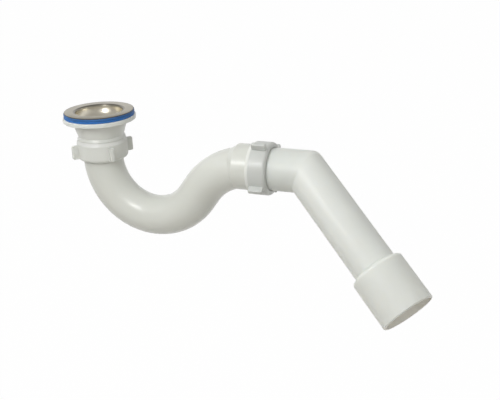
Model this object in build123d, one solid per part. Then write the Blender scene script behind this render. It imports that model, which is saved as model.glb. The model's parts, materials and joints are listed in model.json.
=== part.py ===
from build123d import *
from math import cos, radians, sin, tan
import os

# Shower tray trap in millimetres and degrees. Z is the axis of the waste, with z = 0 on the top
# of the strainer flange. The swan neck lies in the XZ plane and its outlet runs towards +X.

# Pipes
pipe_radius = 20.0
pipe_wall = 2.0
outlet_radius = 25.0
outlet_wall = 1.8

# Clearances
slip_clearance = 0.3
thread_clearance = 0.3
seal_clearance = 0.05
stack_gap = 0.1
screw_clearance = 0.05
nut_stop_gap = 0.3

# Strainer cup, pressed from sheet
sheet = 0.8
strainer_radius = 33.9
mouth_radius = 23.6
mouth_bend = 1.2
bowl_radius = 21.8
bowl_depth = 14.6
bowl_bend = 13.0
screw_recess_radius = 8.0
screw_recess_depth = 1.6
screw_recess_bend = 1.2
drain_hole_radius = 2.1
drain_hole_count = 12
drain_hole_circle = 13.2

# Strainer screw and the insert that it pulls on
screw_radius = 2.95
screw_head_radius = 5.6
screw_head_height = 2.6
screw_length = 20.0
screw_slot_width = 1.4
screw_slot_depth = 1.3
insert_radius = 4.3
insert_length = 7.0
insert_groove_width = 1.2
insert_groove_depth = 0.4

# Tray seals, one above and one below the tray
seal_thickness = 2.2
tray_seal_radius = 34.5
tray_seal_round = 0.5

# Waste body
throat_mouth_radius = 25.7
flange_radius = 35.7
flange_thickness = 4.2
flange_round = 0.9
cone_radius = 27.4
cone_height = 15.1
cone_wall = 2.3
waist_step = 0.4
flare_height = 2.5
bead_step = 1.6
bead_height = 0.7
throat_step = 0.4
hub_radius = 6.6
hub_length = 8.5
hub_gap = 0.3
rib_thickness = 2.4
rib_count = 4
rib_drop = 1.0
rib_height = 5.0

# Compression joints: thread, socket, cone seal, slip washer and winged nut
socket_wall = 1.8
thread_length = 11.5
seat_depth = 3.5
seat_edge = 0.7
seal_tip = 0.6
seal_side_gap = 0.4
seal_base = 3.6
washer_thickness = 1.2
washer_clearance = 0.35
nut_wall = 2.5
nut_rim_wall = 1.2
nut_bevel = 3.2
nut_round = 3.2
lip_thickness = 3.2
lip_clearance = 0.5
wing_height = 6.3
wing_thickness = 3.6
wing_start = 4.0
wing_end_margin = 2.0
wing_round = 1.4
wing_edge = 0.6
wing_count = 4
inlet_wing_angle = -41.0
outlet_wing_angle = 62.0

# Swan neck
inlet_socket_rise = 2.0
inlet_spigot_gap = 0.6
bend_lead = 0.9
neck_step = 0.4
trap_bend_radius = 55.6
rise_angle = 53.8
rise_length = 12.2
top_bend_radius = 64.2

# Outlet collar, measured along X from the end of the upper bend
collar_wall = 1.4
collar_root = 3.0
collar_cone_start = -20.5
collar_start = -12.7
outlet_socket_floor = -9.0
outlet_nut_start = 1.9
collar_thread_lead = 2.0

# Outlet elbow
outlet_spigot_gap = 5.0
corner_distance = 53.3
elbow_angle = 46.5
elbow_swing = 30.7
elbow_round = 10.5
leg_length = 157.1
outlet_length = 47.6
shoulder_rake = 1.2
shoulder_round = 3.0
shoulder_root = 2.0
outlet_chamfer = 0.8

# Heights on the waste axis
flange_top = -(sheet + 2 * seal_thickness)
flange_bottom = flange_top - flange_thickness
waist_z = flange_bottom - cone_height
bead_z = waist_z - flare_height
inlet_nut_z = bead_z - bead_height - nut_stop_gap
inlet_socket_z = inlet_nut_z + inlet_socket_rise
recess_z = -(bowl_depth + screw_recess_depth)
hub_z = recess_z - sheet / 2 - hub_gap

# Radii that follow the pipe
bore_radius = pipe_radius - pipe_wall
throat_radius = bore_radius + throat_step
neck_radius = pipe_radius - neck_step
collar_cone_radius = neck_radius - collar_root
socket_radius = pipe_radius + slip_clearance
collar_radius = socket_radius + collar_wall
thread_radius = socket_radius + socket_wall
seat_mouth_radius = thread_radius - seat_edge
waist_radius = thread_radius + waist_step
bead_radius = thread_radius + bead_step
nut_bore = thread_radius + thread_clearance
nut_radius = nut_bore + nut_wall
nut_rim_radius = nut_bore + nut_rim_wall
wing_reach = nut_radius + wing_height
seal_base_radius = nut_bore - seal_side_gap

# Lengths along a compression joint, from the open end of its nut
nut_height = thread_length + seal_base + washer_thickness + lip_thickness + 3 * stack_gap
lip_face = nut_height - lip_thickness


def turned(*corners):
    """Solid of revolution about Z through (radius, height) corners."""
    return revolve(Plane.XZ * make_face(Polyline(*corners, close=True)), Axis.Z)


def tube(start, end, outer, inner):
    """Round tube about Z between two heights."""
    return turned((inner, start), (outer, start), (outer, end), (inner, end))


def rim(part, radius, height):
    """Circular edges of a turned part at one radius and height."""
    near = 0.01
    edges = part.edges().filter_by(GeomType.CIRCLE)
    on_radius = edges.filter_by(lambda edge: abs(edge.radius - radius) < near)
    return on_radius.filter_by(lambda edge: abs(edge.arc_center.Z - height) < near)


# Strainer: the sheet follows one bent line from the flange's edge to the screw hole
def strainer_cup():
    flange_line = -sheet / 2
    screw_hole = screw_radius + slip_clearance
    line = FilletPolyline(
        (strainer_radius, flange_line),
        (mouth_radius, flange_line),
        (bowl_radius, -bowl_depth),
        (screw_recess_radius, -bowl_depth),
        (screw_recess_radius - screw_recess_depth, recess_z),
        (screw_hole, recess_z),
        radius=[mouth_bend, bowl_bend, screw_recess_bend, screw_recess_bend],
    )
    cup = revolve(Plane.XZ * trace(line, line_width=sheet), Axis.Z)
    drill = Pos(0, 0, -bowl_depth) * Cylinder(drain_hole_radius, bowl_bend)
    return cup - PolarLocations(drain_hole_circle, drain_hole_count) * drill


def strainer_screw():
    seat = recess_z + sheet / 2
    head_top = seat + screw_head_height
    screw = turned(
        (0, seat - screw_length),
        (screw_radius, seat - screw_length),
        (screw_radius, seat),
        (screw_head_radius, seat),
        (screw_head_radius, seat + screw_head_height / 2),
        (screw_head_radius / 2, head_top),
        (0, head_top),
    )
    slot = Box(4 * screw_head_radius, screw_slot_width, 2 * screw_slot_depth)
    return screw - Pos(0, 0, head_top) * slot


def threaded_insert():
    bore = screw_radius + screw_clearance
    insert = tube(hub_z - insert_length, hub_z, insert_radius, bore)
    groove = tube(
        -insert_groove_width / 2,
        insert_groove_width / 2,
        insert_radius,
        insert_radius - insert_groove_depth,
    )
    return insert - Pos(0, 0, hub_z - insert_length / 2) * groove


def tray_seal(top):
    ring = tube(top - seal_thickness, top, tray_seal_radius, throat_mouth_radius)
    outer = rim(ring, tray_seal_radius, top) + rim(ring, tray_seal_radius, top - seal_thickness)
    return fillet(outer, tray_seal_round)


# Compression joint, built along +Z from the open end of its nut
def joint_socket(depth):
    """Space inside a threaded end: pipe socket with the tapered seat for the cone seal."""
    seat = thread_length - seat_depth
    return turned(
        (0, thread_length - depth),
        (socket_radius, thread_length - depth),
        (socket_radius, seat),
        (seat_mouth_radius, thread_length),
        (0, thread_length),
    )


def cone_seal():
    bore = pipe_radius + seal_clearance
    tip = thread_length - seat_depth + seal_tip
    taper = (seat_mouth_radius - socket_radius) / seat_depth
    tip_radius = socket_radius + taper * seal_tip - stack_gap
    base = thread_length + stack_gap
    cone_end_radius = seat_mouth_radius - stack_gap
    return turned(
        (bore, tip),
        (tip_radius, tip),
        (cone_end_radius, thread_length),
        (cone_end_radius, base),
        (seal_base_radius, base),
        (seal_base_radius, base + seal_base),
        (bore, base + seal_base),
    )


def slip_washer():
    top = lip_face - stack_gap
    return tube(top - washer_thickness, top, seal_base_radius, pipe_radius + washer_clearance)


def nut_wing():
    """One wing along +X, with its root inside the nut's wall."""
    root = (nut_bore + nut_radius) / 2 - wing_edge
    length = nut_height - wing_end_margin - wing_start
    plate = Box(wing_reach - root, wing_thickness, length, align=(Align.MIN, Align.CENTER, Align.MIN))
    outer_corners = plate.edges().filter_by(Axis.Y).group_by(Axis.X)[-1]
    plate = fillet(outer_corners, wing_round)
    rounded = plate.faces().filter_by(Axis.Y).edges().filter_by(lambda edge: edge.center().X > wing_edge)
    plate = fillet(rounded, wing_edge)
    return Pos(root, 0, wing_start) * plate


def compression_nut():
    lip_hole = pipe_radius + lip_clearance
    shell = turned(
        (nut_bore, 0),
        (nut_rim_radius, 0),
        (nut_radius, nut_bevel),
        (nut_radius, nut_height),
        (lip_hole, nut_height),
        (lip_hole, lip_face),
        (nut_bore, lip_face),
    )
    shell = fillet(rim(shell, nut_radius, nut_height), nut_round)
    wing = nut_wing()
    wings = [Rot(0, 0, 360 / wing_count * step) * wing for step in range(wing_count)]
    return shell + wings


# Waste body with the spider that carries the screw insert
def waste_body():
    body = turned(
        (throat_mouth_radius, flange_top),
        (flange_radius, flange_top),
        (flange_radius, flange_bottom),
        (cone_radius, flange_bottom),
        (waist_radius, waist_z),
        (bead_radius, bead_z),
        (bead_radius, bead_z - bead_height),
        (thread_radius, bead_z - bead_height),
        (thread_radius, inlet_nut_z - thread_length),
        (throat_radius, inlet_nut_z - thread_length),
        (throat_radius, inlet_socket_z),
        (cone_radius - cone_wall, flange_bottom),
    )
    edges = rim(body, flange_radius, flange_top) + rim(body, flange_radius, flange_bottom)
    body = fillet(edges, flange_round)
    body -= inlet_joint * joint_socket(thread_length + inlet_socket_rise)
    hub = tube(hub_z - hub_length, hub_z, hub_radius, insert_radius)
    hub_floor = tube(
        hub_z - hub_length,
        hub_z - insert_length,
        hub_radius,
        screw_radius + slip_clearance,
    )
    rib_top = hub_z - rib_drop
    slope = (cone_radius - cone_wall - throat_radius) / (flange_bottom - inlet_socket_z)
    wall_radius = throat_radius + slope * (rib_top - inlet_socket_z)
    reach = turned(
        (0, rib_top - rib_height),
        (wall_radius - slope * rib_height + cone_wall / 2, rib_top - rib_height),
        (wall_radius + cone_wall / 2, rib_top),
        (0, rib_top),
    )
    hub_wall = (hub_radius + insert_radius) / 2
    rib = Pos(hub_wall, 0, rib_top) * Box(
        flange_radius, rib_thickness, 2 * rib_height, align=(Align.MIN, Align.CENTER, Align.CENTER)
    )
    ribs = [Rot(0, 0, 360 / rib_count * step) * rib & reach for step in range(rib_count)]
    return body + ribs + hub + hub_floor


# Pipe runs and bends between a start point and a heading
def pipe_run(start, heading, length, radius, end_radius):
    frame = Plane(start, z_dir=heading)
    return frame * turned(
        (radius - pipe_wall, 0),
        (radius, 0),
        (end_radius, length),
        (end_radius - pipe_wall, length),
    )


def pipe_bend(start, heading, turn_axis, bend_radius, angle, radius):
    """Bend about turn_axis, with the point and heading at its far end."""
    outward = heading.cross(turn_axis)
    centre = start - outward * bend_radius
    section = Plane(start, z_dir=heading) * (Circle(radius) - Circle(radius - pipe_wall))
    bend = revolve(section, Axis(centre, turn_axis), angle)
    turn = radians(angle)
    end = centre + (outward * cos(turn) + heading * sin(turn)) * bend_radius
    return bend, end, heading * cos(turn) - outward * sin(turn)


def trap_bend():
    spigot_top = inlet_socket_z - inlet_spigot_gap
    spigot_length = spigot_top - inlet_nut_end
    spigot = pipe_run(Vector(0, 0, spigot_top), down, spigot_length, pipe_radius, pipe_radius)
    lead = pipe_run(Vector(0, 0, inlet_nut_end), down, bend_lead, pipe_radius, neck_radius)
    swan_neck = spigot + lead + trap_arc + rising_leg + top_arc
    collar_x = top_arc_end.X
    open_end = collar_x + outlet_nut_start
    mouth = open_end + thread_length
    axis = Plane((0, 0, top_arc_end.Z), x_dir=(0, 1, 0), z_dir=(1, 0, 0))
    collar = turned(
        (0, collar_x + collar_cone_start),
        (collar_cone_radius, collar_x + collar_cone_start),
        (collar_radius, collar_x + collar_start),
        (collar_radius, open_end - collar_thread_lead),
        (thread_radius, open_end - collar_thread_lead),
        (thread_radius, mouth),
        (0, mouth),
    )
    socket_depth = outlet_nut_start + thread_length - outlet_socket_floor
    neck_and_collar = swan_neck + (axis * collar - swan_neck_bore)
    return neck_and_collar - outlet_joint * joint_socket(socket_depth)


def elbow_form(radius, leg_shape):
    """Run, rounded corner and leg of one radius, cut to meet on the corner's mitre."""
    spigot_x = top_arc_end.X + outlet_socket_floor + outlet_spigot_gap
    run_length = corner.X + corner_overlap - spigot_x
    head = Plane((spigot_x, 0, corner.Z), z_dir=level)
    run = head * turned((0, 0), (radius, 0), (radius, run_length), (0, run_length))
    leg = Plane(corner, z_dir=leg_heading) * leg_shape
    mitre = Plane(corner, z_dir=level + leg_heading)
    beyond = Pos(corner_shift + radius, 0) * Rectangle(2 * radius, 2 * radius)
    section = Plane(corner_start, x_dir=-leg_side, z_dir=level) * (Circle(radius) & beyond)
    corner_axis = Axis(corner_start - leg_side * corner_shift, level.cross(leg_side))
    rounding = revolve(section, corner_axis, elbow_angle)
    run_half = split(run, bisect_by=mitre, keep=Keep.BOTTOM)
    leg_half = split(leg, bisect_by=mitre, keep=Keep.TOP)
    return run_half + leg_half + rounding


def outlet_elbow():
    foot = leg_length - outlet_length
    shell = turned(
        (0, -corner_overlap),
        (pipe_radius, -corner_overlap),
        (pipe_radius, foot),
        (outlet_radius, foot + shoulder_rake),
        (outlet_radius, leg_length),
        (0, leg_length),
    )
    shell = fillet(rim(shell, outlet_radius, foot + shoulder_rake), shoulder_round)
    shell = fillet(rim(shell, pipe_radius, foot), shoulder_root)
    shell = chamfer(rim(shell, outlet_radius, leg_length), outlet_chamfer)
    outlet_bore = outlet_radius - outlet_wall
    hollow = turned(
        (0, -corner_overlap),
        (bore_radius, -corner_overlap),
        (bore_radius, foot + outlet_wall),
        (outlet_bore, foot + outlet_wall + shoulder_rake + shoulder_round),
        (outlet_bore, leg_length),
        (0, leg_length),
    )
    return elbow_form(pipe_radius, shell) - elbow_form(bore_radius, hollow)


# Centreline of the swan neck: down, round the trap, up the rising leg, over to level
down = Vector(0, 0, -1)
inlet_nut_end = inlet_nut_z - nut_height
trap_arc, rise_start, rise_heading = pipe_bend(
    Vector(0, 0, inlet_nut_end - bend_lead),
    down,
    Vector(0, -1, 0),
    trap_bend_radius,
    90 + rise_angle,
    neck_radius,
)
rising_leg = pipe_run(rise_start, rise_heading, rise_length, neck_radius, neck_radius)
top_arc, top_arc_end, level = pipe_bend(
    rise_start + rise_heading * rise_length,
    rise_heading,
    Vector(0, 1, 0),
    top_bend_radius,
    rise_angle,
    neck_radius,
)
swan_neck_bore = revolve(
    Plane(top_arc_end, z_dir=(1, 0, 0)) * Circle(neck_radius - pipe_wall),
    Axis(top_arc_end - Vector(0, 0, top_bend_radius), (0, -1, 0)),
    rise_angle,
)

# Outlet elbow's corner and the heading of its slanted leg
corner = top_arc_end + Vector(corner_distance, 0, 0)
leg_side = Vector(0, -sin(radians(elbow_swing)), -cos(radians(elbow_swing)))
leg_heading = level * cos(radians(elbow_angle)) + leg_side * sin(radians(elbow_angle))

# Centre that the outside of the corner is rounded about, off the pipe's axis
corner_shift = pipe_radius - elbow_round
corner_overlap = corner_shift * tan(radians(elbow_angle / 2))
corner_start = corner + level * corner_overlap

# Joint frames: origin at the open end of the nut, x towards one of its wings
inlet_joint = Plane(
    (0, 0, inlet_nut_z),
    x_dir=(cos(radians(inlet_wing_angle)), sin(radians(inlet_wing_angle)), 0),
    z_dir=(0, 0, -1),
)
outlet_joint = Plane(
    top_arc_end + Vector(outlet_nut_start, 0, 0),
    x_dir=(0, -cos(radians(outlet_wing_angle)), sin(radians(outlet_wing_angle))),
    z_dir=(1, 0, 0),
)

pieces = {
    "strainer_cup": strainer_cup(),
    "strainer_screw": strainer_screw(),
    "upper_seal": tray_seal(-sheet),
    "lower_seal": tray_seal(-sheet - seal_thickness),
    "waste_body": waste_body(),
    "threaded_insert": threaded_insert(),
    "inlet_nut": inlet_joint * compression_nut(),
    "inlet_slip_washer": inlet_joint * slip_washer(),
    "inlet_cone_seal": inlet_joint * cone_seal(),
    "trap_bend": trap_bend(),
    "outlet_nut": outlet_joint * compression_nut(),
    "outlet_slip_washer": outlet_joint * slip_washer(),
    "outlet_cone_seal": outlet_joint * cone_seal(),
    "outlet_elbow": outlet_elbow(),
}

os.makedirs("parts", exist_ok=True)
for name, piece in pieces.items():
    export_step(piece, f"parts/{name}.step")
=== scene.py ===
import json
import math

import bmesh
import bpy
from mathutils import Matrix, Vector


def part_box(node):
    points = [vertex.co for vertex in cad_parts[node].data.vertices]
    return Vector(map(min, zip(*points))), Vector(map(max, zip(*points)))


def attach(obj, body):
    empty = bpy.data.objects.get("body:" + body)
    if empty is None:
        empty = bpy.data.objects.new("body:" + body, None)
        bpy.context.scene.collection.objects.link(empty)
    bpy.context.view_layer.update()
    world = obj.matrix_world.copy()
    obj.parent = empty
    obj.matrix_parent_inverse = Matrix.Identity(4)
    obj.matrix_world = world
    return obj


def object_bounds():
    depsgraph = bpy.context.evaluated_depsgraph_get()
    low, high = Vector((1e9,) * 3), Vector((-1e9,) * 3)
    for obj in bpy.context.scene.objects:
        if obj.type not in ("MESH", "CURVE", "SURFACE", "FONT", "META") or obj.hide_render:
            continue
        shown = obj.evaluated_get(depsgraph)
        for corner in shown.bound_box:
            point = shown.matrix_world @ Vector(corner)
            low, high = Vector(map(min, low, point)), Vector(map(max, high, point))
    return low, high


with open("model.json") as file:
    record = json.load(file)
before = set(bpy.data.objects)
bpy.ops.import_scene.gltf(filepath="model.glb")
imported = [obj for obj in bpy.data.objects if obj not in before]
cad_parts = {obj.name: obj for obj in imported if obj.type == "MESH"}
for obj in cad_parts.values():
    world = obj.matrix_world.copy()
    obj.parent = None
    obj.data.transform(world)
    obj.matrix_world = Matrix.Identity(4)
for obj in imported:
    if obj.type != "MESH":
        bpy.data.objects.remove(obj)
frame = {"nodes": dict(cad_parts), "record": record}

cad_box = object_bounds()


# Waste body
# A white polypropylene moulding: flange, funnel and threaded neck in one shot. It hangs under the tray
# and everything else hangs on it. Its skin is satin, with a faint cloudiness and a fine orange peel.
waste_white = (0.70, 0.718, 0.69)
plastic_ior = 1.49
plastic_glow = (1.0, 0.95, 0.85)
skin_outputs = ("Tone", "Roughness Shift", "Height")
mix_first_colour = 6
mix_second_colour = 7
mix_result_colour = 2


def feed(tree, sockets, values):
    """Set sockets, by name or number, to plain values, or link them to other nodes' outputs."""
    for socket, value in values.items():
        if isinstance(value, bpy.types.NodeSocket):
            tree.links.new(value, sockets[socket])
        else:
            sockets[socket].default_value = value


def add_node(tree, kind, inputs, **settings):
    """New node with its settings made and its inputs fed."""
    node = tree.nodes.new(kind)
    for setting, value in settings.items():
        setattr(node, setting, value)
    feed(tree, node.inputs, inputs)
    return node


def maths(tree, operation, first, second):
    """Arithmetic on two numbers."""
    return add_node(tree, "ShaderNodeMath", {0: first, 1: second}, operation=operation).outputs["Value"]


def map_range(tree, source, span, target):
    """Number that crosses the target while its source crosses the span."""
    ends = {"From Min": span[0], "From Max": span[1], "To Min": target[0], "To Max": target[1]}
    return add_node(tree, "ShaderNodeMapRange", {"Value": source, **ends}).outputs["Result"]


def mix_colours(tree, factor, first, second, **settings):
    """Mix of two colours, from the first at a factor of 0 to the second at 1.

    Its colour sockets go by number, because a Mix node's other sockets have the same names.
    """
    values = {"Factor": factor, mix_first_colour: first, mix_second_colour: second}
    return add_node(tree, "ShaderNodeMix", values, data_type="RGBA", **settings).outputs[mix_result_colour]


def object_place(tree):
    """Place of the shaded point in the object's own frame."""
    return add_node(tree, "ShaderNodeTexCoord", {}).outputs["Object"]


def noise(tree, place, scale, detail):
    """Cloudy noise through the whole space."""
    values = {"Vector": place, "Scale": scale, "Detail": detail}
    return add_node(tree, "ShaderNodeTexNoise", values).outputs["Fac"]


def shader_group(name, inputs, outputs, input_type="NodeSocketFloat"):
    """New node group, with the sockets that its inside reads from and writes to."""
    tree = bpy.data.node_groups.new(name, "ShaderNodeTree")
    for label in inputs:
        tree.interface.new_socket(label, in_out="INPUT", socket_type=input_type)
    for label in outputs:
        tree.interface.new_socket(label, in_out="OUTPUT", socket_type="NodeSocketFloat")
    return tree, tree.nodes.new("NodeGroupInput").outputs, tree.nodes.new("NodeGroupOutput").inputs


def moulded_skin_group():
    """Cloudy tone, patchy gloss and orange peel of an injection moulding."""
    inputs = ("Cloud Depth", "Gloss Spread", "Peel Scale")
    tree, given, result = shader_group("moulded_skin", inputs, skin_outputs)
    place = object_place(tree)
    cloud = map_range(tree, noise(tree, place, scale=28.0, detail=4.0), (0.3, 0.7), (-1.0, 0.4))
    fleck = map_range(tree, noise(tree, place, scale=1100.0, detail=2.0), (0.3, 0.7), (-0.35, 0.2))
    mottle = maths(tree, "MULTIPLY", maths(tree, "ADD", cloud, fleck), given["Cloud Depth"])
    handled = map_range(tree, noise(tree, place, scale=95.0, detail=6.0), (0.35, 0.7), (-0.5, 0.5))
    feed(tree, result, {
        "Tone": maths(tree, "ADD", mottle, 1.0),
        "Roughness Shift": maths(tree, "MULTIPLY", handled, given["Gloss Spread"]),
        "Height": noise(tree, place, given["Peel Scale"], detail=2.0),
    })
    return tree


moulded_skin = moulded_skin_group()


def skin_material(name, colour, roughness, bump, group, skin_values, plain_values):
    """Principled surface with tone, gloss and bump from a skin group, and plain values on other sockets."""
    material = bpy.data.materials.new(name)
    material.use_nodes = True
    tree = material.node_tree
    skin = add_node(tree, "ShaderNodeGroup", skin_values, node_tree=group)
    tone, shift, height = (skin.outputs[label] for label in skin_outputs)
    relief = add_node(tree, "ShaderNodeBump", {"Height": height, "Strength": 1.0, "Distance": bump})
    feed(tree, tree.nodes["Principled BSDF"].inputs, {
        "Base Color": mix_colours(tree, 1.0, (*colour, 1.0), tone, blend_type="MULTIPLY", name="tint"),
        "Roughness": maths(tree, "ADD", shift, roughness),
        "Normal": relief.outputs["Normal"],
        **plain_values,
    })
    return material


def dress(node, material):
    """Give a CAD node its finish."""
    finishes = frame["nodes"][node].data.materials
    finishes.clear()
    finishes.append(material)


def moulded_plastic(name, colour, roughness, gloss, gloss_roughness, depth, sunk):
    """White moulding, satin below a thin gloss, with a share of light that sinks in to a depth."""
    return skin_material(
        name, colour, roughness, bump=0.000006, group=moulded_skin,
        skin_values={"Cloud Depth": 0.015, "Gloss Spread": 0.06, "Peel Scale": 620.0},
        plain_values={
            "IOR": plastic_ior,
            "Coat Weight": gloss,
            "Coat Roughness": gloss_roughness,
            "Subsurface Weight": sunk,
            "Subsurface Radius": plastic_glow,
            "Subsurface Scale": depth,
        },
    )


waste_plastic = moulded_plastic(
    "waste_plastic", waste_white, roughness=0.40, gloss=0.5, gloss_roughness=0.24, depth=0.0015, sunk=0.2
)
dress("waste_body", waste_plastic)


# Neck thread
# The external thread moulded on the neck, which the inlet nut runs on. A low blunt ridge of 2.5 mm pitch
# that climbs the plain neck cylinder and just clears the nut's bore.
thread_pitch = 0.0025
thread_root = 0.0218
thread_crest = 0.02235
thread_run = 0.0115
ridge_half = 0.3 * thread_pitch
crest_half = 0.12 * thread_pitch
steps_per_turn = 60
fade_steps = 15


def thread_ridge(name, place, length, body, plastic):
    """Helical ridge along +Z of a place, from its origin for a length, that fades out at both ends."""
    climb = length - 2 * ridge_half
    steps = round(steps_per_turn * climb / thread_pitch)
    mesh = bmesh.new()
    rings = []
    for step in range(steps + 1):
        angle = 2 * math.pi * step / steps_per_turn
        height = ridge_half + climb * step / steps
        full = min(1.0, (step + 1) / fade_steps, (steps - step + 1) / fade_steps)
        crest = thread_root + (thread_crest - thread_root) * full
        section = (
            (thread_root, height - ridge_half),
            (crest, height - crest_half),
            (crest, height + crest_half),
            (thread_root, height + ridge_half),
        )
        along_x, along_y = math.cos(angle), math.sin(angle)
        rings.append([mesh.verts.new((radius * along_x, radius * along_y, z)) for radius, z in section])
    for near, far in zip(rings, rings[1:]):
        for side in range(len(near)):
            after = (side + 1) % len(near)
            mesh.faces.new((near[side], far[side], far[after], near[after]))
    mesh.faces.new(rings[0])
    mesh.faces.new(reversed(rings[-1]))
    bmesh.ops.recalc_face_normals(mesh, faces=mesh.faces)
    data = bpy.data.meshes.new(name)
    mesh.to_mesh(data)
    mesh.free()
    data.transform(place)
    data.materials.append(plastic)
    piece = bpy.data.objects.new(name, data)
    bpy.context.scene.collection.objects.link(piece)
    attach(piece, body)


neck_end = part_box("waste_body")[0].z
thread_ridge("neck_thread", Matrix.Translation((0, 0, neck_end)), thread_run, "waste", waste_plastic)


# Threaded insert
# A turned brass bush, pressed into the hub of the waste body's spider, which the strainer screw pulls on.
# It is bright where the tool cut it and slightly browned elsewhere.
brass = (0.76, 0.58, 0.26)


def vector_maths(tree, operation, *vectors):
    """Arithmetic on vectors, with its vector and its number as outputs."""
    return add_node(tree, "ShaderNodeVectorMath", dict(enumerate(vectors)), operation=operation).outputs


def waste_axis_distance(tree, place):
    """Distance from the waste's axis, about which the metal pieces are round."""
    flat = vector_maths(tree, "MULTIPLY", place, (1, 1, 0))["Vector"]
    return vector_maths(tree, "LENGTH", flat)["Value"]


def ring_noise(tree, distance, scale, detail):
    """Noise that changes with a distance alone, so that it lies in rings."""
    values = {"W": distance, "Scale": scale, "Detail": detail}
    return add_node(tree, "ShaderNodeTexNoise", values, noise_dimensions="1D").outputs["Fac"]


def turned_metal_group():
    """Fine rings left by a lathe about the waste's axis, with a little tarnish."""
    inputs = ("Ring Scale", "Tarnish", "Gloss Spread")
    tree, given, result = shader_group("turned_metal", inputs, skin_outputs)
    place = object_place(tree)
    height = add_node(tree, "ShaderNodeSeparateXYZ", {"Vector": place}).outputs["Z"]
    tool_path = maths(tree, "ADD", waste_axis_distance(tree, place), height)
    rings = ring_noise(tree, tool_path, given["Ring Scale"], detail=2.0)
    stain = map_range(tree, noise(tree, place, scale=60.0, detail=4.0), (0.35, 0.75), (0.0, -1.0))
    tarnish = maths(tree, "MULTIPLY", stain, given["Tarnish"])
    cut = map_range(tree, rings, (0.3, 0.7), (-0.5, 0.5))
    feed(tree, result, {
        "Tone": maths(tree, "ADD", tarnish, 1.0),
        "Roughness Shift": maths(tree, "MULTIPLY", cut, given["Gloss Spread"]),
        "Height": rings,
    })
    return tree


turned_metal = turned_metal_group()
insert_brass = skin_material(
    "insert_brass", brass, roughness=0.28, bump=0.00002, group=turned_metal,
    skin_values={"Ring Scale": 2600.0, "Tarnish": 0.2, "Gloss Spread": 0.1},
    plain_values={"Metallic": 1.0},
)
dress("threaded_insert", insert_brass)


# Tray seals
# Two blue rubber rings that go above and below the tray. With no tray between them they lie on each other.
# Moulded rubber, matt with a fine grain and a trace of bloom. The upper one is painted a darker blue, as
# painted shade under the steel flange, and the lower one a lighter blue, as painted light.
# One blue rubber in two copies: the upper darker as painted shade, the lower lighter as painted light.
lit_and_shaded_seal_blues = {"upper_seal": (0.030, 0.122, 0.335), "lower_seal": (0.028, 0.146, 0.442)}


def rubber_group():
    """Bloom, fine grain and patchy dullness of moulded rubber."""
    tree, given, result = shader_group("rubber_skin", ("Bloom", "Grain Scale"), skin_outputs)
    place = object_place(tree)
    cloud = noise(tree, place, scale=70.0, detail=5.0)
    bloom = maths(tree, "MULTIPLY", map_range(tree, cloud, (0.3, 0.75), (-0.6, 1.0)), given["Bloom"])
    feed(tree, result, {
        "Tone": maths(tree, "ADD", bloom, 1.0),
        "Roughness Shift": map_range(tree, cloud, (0.3, 0.7), (-0.06, 0.08)),
        "Height": noise(tree, place, given["Grain Scale"], detail=3.0),
    })
    return tree


rubber_skin = rubber_group()
# Each seal gets its own copy of the rubber, one with painted shade and one with painted light.
for seal, blue in lit_and_shaded_seal_blues.items():
    shaded_and_lit_seal_rubber = skin_material(
        f"{seal}_rubber", blue, roughness=0.5, bump=0.00003, group=rubber_skin,
        skin_values={"Bloom": 0.12, "Grain Scale": 900.0},
        plain_values={"Specular IOR Level": 0.35},
    )
    dress(seal, shaded_and_lit_seal_rubber)


# Strainer cup
# One pressing of stainless sheet, clamped by a screw in the recess of its bowl. Its satin flange lies on the
# tray, slightly crowned, with painted shade at its sheared edge. Its polished bowl is painted brighter than
# the flange as painted light, with a painted dark reflection just below the lip.
stainless = (0.525, 0.492, 0.41)
rim_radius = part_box("strainer_cup")[1].x
polish_radius = 0.0248
satin_radius = 0.0256
# Painted shade: the flange darkens towards its sheared edge.
sheared_shade_radius = 0.0332
sheared_shade_tone = -0.8
# Painted light: the polished bowl's steel is made brighter than the flange's.
bowl_painted_light_tone = 0.5
# Painted dark reflection: a dark band just below the bowl's lip.
lip_dark_reflection_top = -0.0007
lip_dark_reflection_foot = -0.0028
lip_dark_reflection_tone = -1.0
crown_fall = 0.0013
steel_bump = 0.00001


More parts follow.
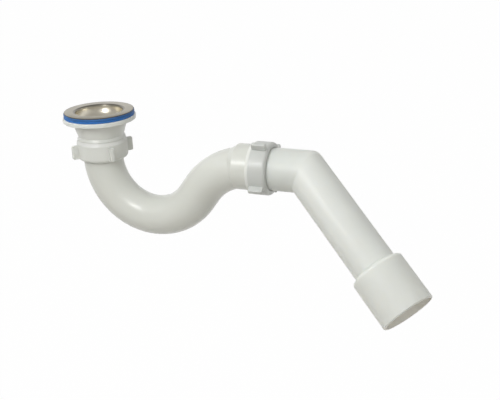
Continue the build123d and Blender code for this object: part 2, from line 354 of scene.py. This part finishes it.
def pressed_steel_group():
    """Satin flange and polished bowl, told apart by the distance from the axis, with painted light and
    shade.
    """
    inputs = ("Satin Roughness", "Polish Roughness", "Ring Scale")
    tree, given, result = shader_group("pressed_steel", inputs, skin_outputs)
    place = object_place(tree)
    distance = waste_axis_distance(tree, place)
    satin = map_range(tree, distance, (polish_radius, satin_radius), (0.0, 1.0))
    polished = maths(tree, "SUBTRACT", 1.0, satin)
    rings = ring_noise(tree, distance, given["Ring Scale"], detail=3.0)
    smear = noise(tree, place, scale=80.0, detail=5.0)

    spread = maths(tree, "SUBTRACT", given["Satin Roughness"], given["Polish Roughness"])
    finish = maths(tree, "ADD", maths(tree, "MULTIPLY", spread, satin), given["Polish Roughness"])
    handled = map_range(tree, smear, (0.35, 0.7), (-0.03, 0.05))

    lines = maths(tree, "MULTIPLY", map_range(tree, rings, (0.3, 0.7), (-0.04, 0.03)), satin)
    stain = map_range(tree, smear, (0.3, 0.75), (0.02, -0.05))
    # Painted shade at the flange's sheared edge.
    sheared_edge_shade = map_range(tree, distance, (sheared_shade_radius, rim_radius), (0.0, sheared_shade_tone))
    height = add_node(tree, "ShaderNodeSeparateXYZ", {"Vector": place}).outputs["Z"]
    # Painted dark reflection in a band just below the bowl's lip.
    lip_dark_reflection = map_range(tree, height, (lip_dark_reflection_foot, lip_dark_reflection_top), (0.0, lip_dark_reflection_tone))
    # Painted light on the bowl, less the painted dark reflection below its lip.
    bowl = maths(tree, "MULTIPLY", polished, maths(tree, "ADD", lip_dark_reflection, bowl_painted_light_tone))
    shade = maths(tree, "ADD", maths(tree, "ADD", lines, stain), maths(tree, "ADD", sheared_edge_shade, bowl))

    brushed = maths(tree, "MULTIPLY", rings, satin)
    outward = map_range(tree, distance, (satin_radius, rim_radius), (0.0, 1.0))
    crown = maths(tree, "MULTIPLY", maths(tree, "MULTIPLY", outward, outward), -crown_fall / steel_bump)
    feed(tree, result, {
        "Tone": maths(tree, "ADD", shade, 1.0),
        "Roughness Shift": maths(tree, "ADD", finish, handled),
        "Height": maths(tree, "ADD", brushed, crown),
    })
    return tree


strainer_steel = skin_material(
    "stainless_sheet", stainless, roughness=0.0, bump=steel_bump, group=pressed_steel_group(),
    skin_values={"Satin Roughness": 0.36, "Polish Roughness": 0.31, "Ring Scale": 3200.0},
    plain_values={"Metallic": 1.0},
)
dress("strainer_cup", strainer_steel)


# Strainer screw
# A slotted stainless screw with a bevelled head, turned and lightly polished. It goes through the bowl into
# the brass insert and clamps the strainer, both seals and the tray to the waste body.
screw_grey = (0.60, 0.58, 0.54)
screw_steel = skin_material(
    "screw_steel", screw_grey, roughness=0.24, bump=0.00001, group=turned_metal,
    skin_values={"Ring Scale": 2600.0, "Tarnish": 0.06, "Gloss Spread": 0.12},
    plain_values={"Metallic": 1.0},
)
dress("strainer_screw", screw_steel)


# Trap bend
# The swan neck that holds the water seal, moulded in the same white plastic with its outlet collar.
# Its inlet end slides up into the waste body's neck, and its collar carries a thread like the neck's.
trap_white = (0.655, 0.672, 0.634)
trap_plastic = moulded_plastic(
    "trap_plastic", trap_white, roughness=0.40, gloss=0.6, gloss_roughness=0.24, depth=0.0015, sunk=0.2
)
dress("trap_bend", trap_plastic)
collar_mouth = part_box("trap_bend")[1].x
seal_low, seal_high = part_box("outlet_cone_seal")
outlet_axis = (seal_low.z + seal_high.z) / 2
collar_place = Matrix.Translation((collar_mouth, 0, outlet_axis)) @ Matrix.Rotation(-math.pi / 2, 4, "Y")
thread_ridge("collar_thread", collar_place, thread_run, "trap", trap_plastic)


# Cone seals
# Tapered rings of black rubber, one in each compression joint. The nut presses them between pipe and seat,
# and they hold the pipe by friction.
cone_black = (0.028, 0.028, 0.027)
cone_rubber = skin_material(
    "pipe_seal_rubber", cone_black, roughness=0.55, bump=0.00004, group=rubber_skin,
    skin_values={"Bloom": 0.3, "Grain Scale": 1100.0},
    plain_values={},
)
for seal in ("inlet_cone_seal", "outlet_cone_seal"):
    dress(seal, cone_rubber)


# Slip washers
# Thin rings moulded in a hard, slightly ivory plastic. They lie loose between each nut and its rubber seal,
# so that the nut turns without dragging the seal round.
washer_ivory = (0.85, 0.85, 0.81)
washer_plastic = skin_material(
    "washer_plastic", washer_ivory, roughness=0.42, bump=0.00002, group=moulded_skin,
    skin_values={"Cloud Depth": 0.02, "Gloss Spread": 0.08, "Peel Scale": 500.0},
    plain_values={},
)
for washer in ("inlet_slip_washer", "outlet_slip_washer"):
    dress(washer, washer_plastic)


# Compression nuts
# Two winged nuts of a harder white plastic, turned by hand. Each one screws over a thread and presses its
# washer and cone seal against the pipe. The bevel at its open end is painted whiter than its barrel, as a
# painted highlight, and the outlet nut's barrel is painted greyer than the inlet nut's, as painted shade.
inlet_nut_white = (0.685, 0.703, 0.675)
# Painted highlight: each nut's bevel white, whiter than its barrel.
inlet_bevel_highlight = (0.735, 0.750, 0.735)
# Painted shade: the outlet nut's barrel is a greyer copy of the inlet nut's white.
outlet_nut_shaded_white = (0.565, 0.585, 0.570)
outlet_bevel_highlight = (0.745, 0.762, 0.735)
bevel_length = 0.0032
bevel_fade = 0.0007


def length_along(tree, start, axis):
    """Length from a start to the shaded point, along an axis."""
    offset = vector_maths(tree, "SUBTRACT", object_place(tree), start)["Vector"]
    return vector_maths(tree, "DOT_PRODUCT", offset, axis)["Value"]


def nut_bevel_highlight_group():
    """1 on the bevel next to a nut's open end, where a highlight is painted, and 0 on the rest of the nut.
    """
    inputs = ("Open End", "Axis")
    tree, given, result = shader_group("nut_bevel_highlight", inputs, ("Bevel",), input_type="NodeSocketVector")
    along = length_along(tree, given["Open End"], given["Axis"])
    bevel_end = (bevel_length - bevel_fade, bevel_length + bevel_fade)
    feed(tree, result, {"Bevel": map_range(tree, along, bevel_end, (1.0, 0.0))})
    return tree


nut_bevel_highlight = nut_bevel_highlight_group()


def recolour(material, colour):
    """Put another node's colour in the place of a skin material's plain one."""
    tree = material.node_tree
    feed(tree, tree.nodes["tint"].inputs, {mix_first_colour: colour})


def dress_nut(nut, barrel_white, bevel_highlight, roughness, gloss, gloss_roughness):
    """Give a nut its white and its painted bevel highlight. Its turn joint says where its open end is and
    which way it runs.
    """
    plastic = moulded_plastic(
        f"{nut}_plastic", barrel_white, roughness, gloss, gloss_roughness, depth=0.0012, sunk=0.2
    )
    joints = frame["record"]["behaviour"]["joints"]
    turn = next(joint for joint in joints if joint["name"] == f"{nut}_turn")
    tree = plastic.node_tree
    place = {"Open End": turn["pos_m"], "Axis": turn["axis"]}
    # Painted highlight: the whiter bevel colour, mixed in by the bevel's mask.
    bevel = add_node(tree, "ShaderNodeGroup", place, node_tree=nut_bevel_highlight)
    recolour(plastic, mix_colours(tree, bevel.outputs["Bevel"], (*barrel_white, 1.0), (*bevel_highlight, 1.0)))
    dress(nut, plastic)


dress_nut(
    "inlet_nut", inlet_nut_white, inlet_bevel_highlight, roughness=0.42, gloss=0.15, gloss_roughness=0.22
)
dress_nut(
    "outlet_nut", outlet_nut_shaded_white, outlet_bevel_highlight, roughness=0.44, gloss=0.4, gloss_roughness=0.31
)


# Outlet elbow
# A pipe with one mitred turn and a wider spigot end for the soil pipe, in the same white plastic, painted
# lighter than the trap as painted light, greyer on its level run as painted shade, and lighter inside the
# spigot as painted light. It slides into the collar and turns in it until the nut is tightened.
# Painted light: the elbow's white is lighter than the trap's, though it is the same plastic.
elbow_lit_white = (0.77, 0.798, 0.765)
# Painted shade: the level run's greyer white.
run_shade_white = (0.695, 0.725, 0.695)
# Painted light: the lighter white inside the spigot.
inside_light_white = (0.95, 0.94, 0.88)
run_axis = Vector((1, 0, 0))
run_fade = (-0.008, 0.004)
outer_skin = 0.001
elbow_plastic = moulded_plastic(
    "elbow_plastic", elbow_lit_white, roughness=0.44, gloss=0.2, gloss_roughness=0.28, depth=0.0045, sunk=0.6
)
dress("outlet_elbow", elbow_plastic)
spigot = next(mount for mount in frame["record"]["mounts"] if mount["name"] == "soil_pipe_spigot")
spigot_middle = Vector(spigot["pos_m"])
spigot_axis = Vector(spigot["axis"])
spigot_half = spigot["dims"]["length_mm"] / 1000 / 2
inside_radius = spigot["dims"]["r_mm"] / 1000 - outer_skin
# The spigot's axis meets the level run's axis at the mitre, in the plane y = 0
mitre_corner = spigot_middle - spigot_axis * (spigot_middle.y / spigot_axis.y)
mitre_axis = (run_axis + spigot_axis).normalized()

tree = elbow_plastic.node_tree
# Painted light: this mask puts a lighter white inside the spigot's bore.
offset = vector_maths(tree, "SUBTRACT", object_place(tree), spigot_middle)["Vector"]
across = vector_maths(tree, "CROSS_PRODUCT", offset, spigot_axis)["Vector"]
from_axis = vector_maths(tree, "LENGTH", across)["Value"]
past_shoulder = maths(tree, "GREATER_THAN", length_along(tree, spigot_middle, spigot_axis), -spigot_half)
inside = maths(tree, "MULTIPLY", past_shoulder, maths(tree, "LESS_THAN", from_axis, inside_radius))
# Painted shade: the level run greyer than the rest of the elbow.
level_run_shade = map_range(tree, length_along(tree, mitre_corner, mitre_axis), run_fade, (1.0, 0.0))
outside = mix_colours(tree, level_run_shade, (*elbow_lit_white, 1.0), (*run_shade_white, 1.0))
recolour(elbow_plastic, mix_colours(tree, inside, outside, (*inside_light_white, 1.0)))


# Floor
# A wide pale sheet well below the object, so that only a soft shade falls on it. It is warm grey to the
# light, and nearly white to the camera and to shiny surfaces.
floor_grey = (0.50, 0.48, 0.44)
pure_white = (1.0, 1.0, 1.0)
floor_drop = 0.06
floor_half = 8.0
floor_glow = 0.99
floor_z = cad_box[0][2] - floor_drop
floor_sides = ((-1, -1), (1, -1), (1, 1), (-1, 1))
floor_corners = [(x * floor_half, y * floor_half, floor_z) for x, y in floor_sides]
floor_data = bpy.data.meshes.new("floor")
floor_data.from_pydata(floor_corners, [], [(0, 1, 2, 3)])
floor = bpy.data.objects.new("floor", floor_data)
bpy.context.scene.collection.objects.link(floor)


def seen_directly(tree):
    """1 for what the camera sees, straight or in metal and glass, and 0 for light that falls on things."""
    path = add_node(tree, "ShaderNodeLightPath", {}).outputs
    mirrored = maths(tree, "MAXIMUM", path["Is Glossy Ray"], path["Is Transmission Ray"])
    return maths(tree, "MAXIMUM", path["Is Camera Ray"], mirrored)


def mix_shaders(tree, factor, first, second):
    """Mix of two shaders, from the first at a factor of 0 to the second at 1."""
    return add_node(tree, "ShaderNodeMixShader", {0: factor, 1: first, 2: second}).outputs["Shader"]


floor_paint = bpy.data.materials.new("pale_floor")
floor_paint.use_nodes = True
tree = floor_paint.node_tree
tree.nodes.remove(tree.nodes["Principled BSDF"])
paper = add_node(tree, "ShaderNodeBsdfDiffuse", {"Color": (*floor_grey, 1.0)})
glow = add_node(tree, "ShaderNodeEmission", {"Color": (*pure_white, 1.0), "Strength": 1.0})
share = maths(tree, "MULTIPLY", seen_directly(tree), floor_glow)
painted = mix_shaders(tree, share, paper.outputs["BSDF"], glow.outputs["Emission"])
feed(tree, tree.nodes["Material Output"].inputs, {"Surface": painted})
floor_data.materials.append(floor_paint)


# Studio light
# A round key lamp in front, to the left and above, a softer one above the front, and three large ones at the
# left, overhead and at the right. Shiny surfaces show the key lamp and a white room, which is dimmer
# overhead and on the camera's side.
room_colour = (1.0, 0.97, 0.89)
room_strength = 0.345
unlit_strength = 0.42
back_wall = (-0.5, 0.3)
wall_top = (0.25, 0.7)
world = bpy.data.worlds.new("white_room")
world.use_nodes = True
bpy.context.scene.world = world
tree = world.node_tree
room = tree.nodes["Background"]
feed(tree, room.inputs, {"Color": (*room_colour, 1.0), "Strength": room_strength})
glossy = add_node(tree, "ShaderNodeLightPath", {}).outputs["Is Glossy Ray"]
room_place = add_node(tree, "ShaderNodeTexCoord", {}).outputs["Generated"]
room_sides = add_node(tree, "ShaderNodeSeparateXYZ", {"Vector": room_place}).outputs
behind = map_range(tree, room_sides["Y"], back_wall, (0.0, 1.0))
below_top = map_range(tree, room_sides["Z"], wall_top, (1.0, 0.0))
unlit = maths(tree, "SUBTRACT", 1.0, maths(tree, "MULTIPLY", behind, below_top))
lost = maths(tree, "MULTIPLY", unlit, 1.0 - unlit_strength)
seen_strength = maths(tree, "SUBTRACT", 1.0, maths(tree, "MULTIPLY", lost, glossy))
white = add_node(tree, "ShaderNodeBackground", {"Color": (*pure_white, 1.0), "Strength": seen_strength})
backdrop = white.outputs["Background"]
lit_room = mix_shaders(tree, seen_directly(tree), room.outputs["Background"], backdrop)
feed(tree, tree.nodes["World Output"].inputs, {"Surface": lit_room})

low, high = (Vector(corner) for corner in cad_box)
middle = (low + high) / 2


def lamp(name, direction, distance, size, power, mirrored):
    """Round lamp that shines on the middle of the object, with or without an image in shiny surfaces."""
    light = bpy.data.lights.new(name, "AREA")
    light.shape = "DISK"
    light.size = size
    light.energy = power
    source = bpy.data.objects.new(name, light)
    source.visible_glossy = mirrored
    towards = Vector(direction).normalized()
    source.location = middle + towards * distance
    source.rotation_euler = towards.to_track_quat("Z", "Y").to_euler()
    bpy.context.scene.collection.objects.link(source)


lamp("key_lamp", (-0.32, -0.74, 0.6), distance=0.51, size=0.17, power=0.8, mirrored=True)
lamp("soft_lamp", (0.0, -0.6, 0.8), distance=0.75, size=0.5, power=0.88, mirrored=False)
lamp("left_lamp", (-0.7, -0.2, 0.7), distance=1.6, size=1.2, power=6.0, mirrored=False)
lamp("overhead_lamp", (0.0, -0.15, 1.0), distance=1.6, size=1.6, power=4.0, mirrored=False)
lamp("right_lamp", (0.6, -0.75, 0.2), distance=1.6, size=1.2, power=4.5, mirrored=False)


# Camera
# The photograph's own view: in front, to the right and above, with a slight tilt. Its place, its turns and
# its lens were fitted to edges measured in the photograph.
camera_place = Vector((0.435573, -0.683192, 0.200167))
camera_yaw = math.radians(-22.22)
camera_pitch = math.radians(20.693)
camera_roll = math.radians(-2.309)
camera_lens = 59.83
camera_sensor = 36.0
level_right = Vector((math.cos(camera_yaw), -math.sin(camera_yaw), 0))
forward = Vector((
    math.sin(camera_yaw) * math.cos(camera_pitch),
    math.cos(camera_yaw) * math.cos(camera_pitch),
    -math.sin(camera_pitch),
))
level_up = level_right.cross(forward)
right = level_right * math.cos(camera_roll) + level_up * math.sin(camera_roll)
up = level_up * math.cos(camera_roll) - level_right * math.sin(camera_roll)
camera_data = bpy.data.cameras.new("camera")
camera_data.sensor_fit = "HORIZONTAL"
camera_data.sensor_width = camera_sensor
camera_data.lens = camera_lens
camera = bpy.data.objects.new("camera", camera_data)
camera.matrix_world = Matrix.Translation(camera_place) @ Matrix((right, up, -forward)).transposed().to_4x4()
bpy.context.scene.collection.objects.link(camera)
bpy.context.scene.camera = camera
bpy.context.scene.view_settings.view_transform = "Standard"
